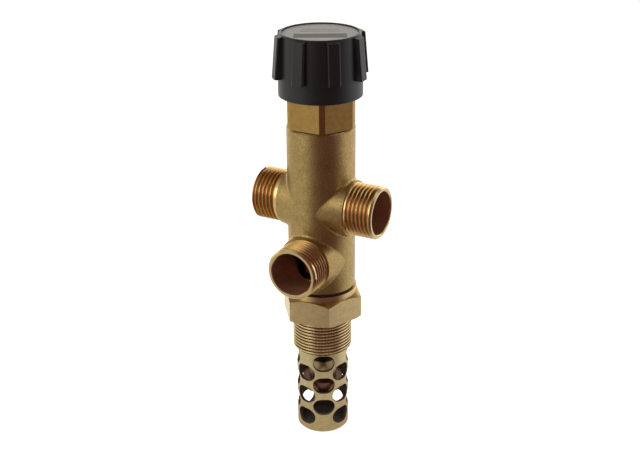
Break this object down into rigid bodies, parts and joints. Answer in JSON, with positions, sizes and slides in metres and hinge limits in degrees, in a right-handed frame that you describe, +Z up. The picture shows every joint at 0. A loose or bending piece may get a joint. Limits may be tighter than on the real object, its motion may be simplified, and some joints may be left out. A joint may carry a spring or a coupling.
{
  "type": "thermal discharge valve",
  "caption": "Brass thermal safety valve with threaded side ports, perforated sensor tube for a boiler boss and a black ribbed test cap that lifts both valve discs.",
  "frame": {"origin": "on the spindle axis at the underside of the sensor fitting's hexagon, where the boiler thread starts", "axes": "+Z up the spindle towards the test cap, +X along the right upper port, -Y along the lower port"},
  "size_m": [0.0576, 0.048, 0.1847],
  "materials": {
    "cast_brass": "matt, shot-blasted casting",
    "turned_brass": "turned, bright",
    "capsule_copper": "drawn, dull",
    "black_plastic": "moulded, satin",
    "label_grey": "printed film, satin",
    "seal_rubber": "moulded EPDM",
    "spring_steel": "drawn wire, bright"
  },
  "bodies": {
    "valve": {"valve_body": "cast_brass", "bonnet": "turned_brass", "bonnet_gasket": "seal_rubber", "bonnet_o_ring": "seal_rubber", "sensor_fitting": "turned_brass", "sealing_ring": "seal_rubber", "guard_tube": "turned_brass", "capsule_holder": "turned_brass", "wax_capsule": "capsule_copper", "capsule_nut": "turned_brass", "seat_sleeve": "turned_brass", "guide_bush": "turned_brass", "guide_o_ring": "seal_rubber", "return_spring": "spring_steel"},
    "spindle": {"spindle": "turned_brass", "discharge_disc": "turned_brass", "discharge_seal": "seal_rubber", "discharge_nut": "turned_brass", "cold_disc": "turned_brass", "cold_seal": "seal_rubber", "cold_clip": "spring_steel", "cap_clip": "spring_steel", "cap_screw": "spring_steel"},
    "cap": {"test_cap": "black_plastic", "label_disc": "label_grey"},
    "piston": {"piston": "spring_steel"}
  },
  "joints": [
    {"name": "spindle_lift", "type": "slide", "parent": "valve", "child": "spindle", "axis": [0, 0, 1], "range_m": [0, 0.003], "stiffness_N_per_m": 2740, "springref_m": -0.01, "deforming": ["return_spring"]},
    {"name": "cap_turn", "type": "hinge", "parent": "spindle", "child": "cap", "pos_m": [0, 0, 0.101], "axis": [0, 0, 1], "range_deg": [0, 60]},
    {"name": "piston_lift", "type": "slide", "parent": "valve", "child": "piston", "axis": [0, 0, 1], "range_m": [0, 0.003]}
  ],
  "couplings": [
    {"joint": "cap_turn", "follows": "spindle_lift", "rad_per_m": 349},
    {"joint": "piston_lift", "follows": "spindle_lift", "ratio": 1}
  ]
}
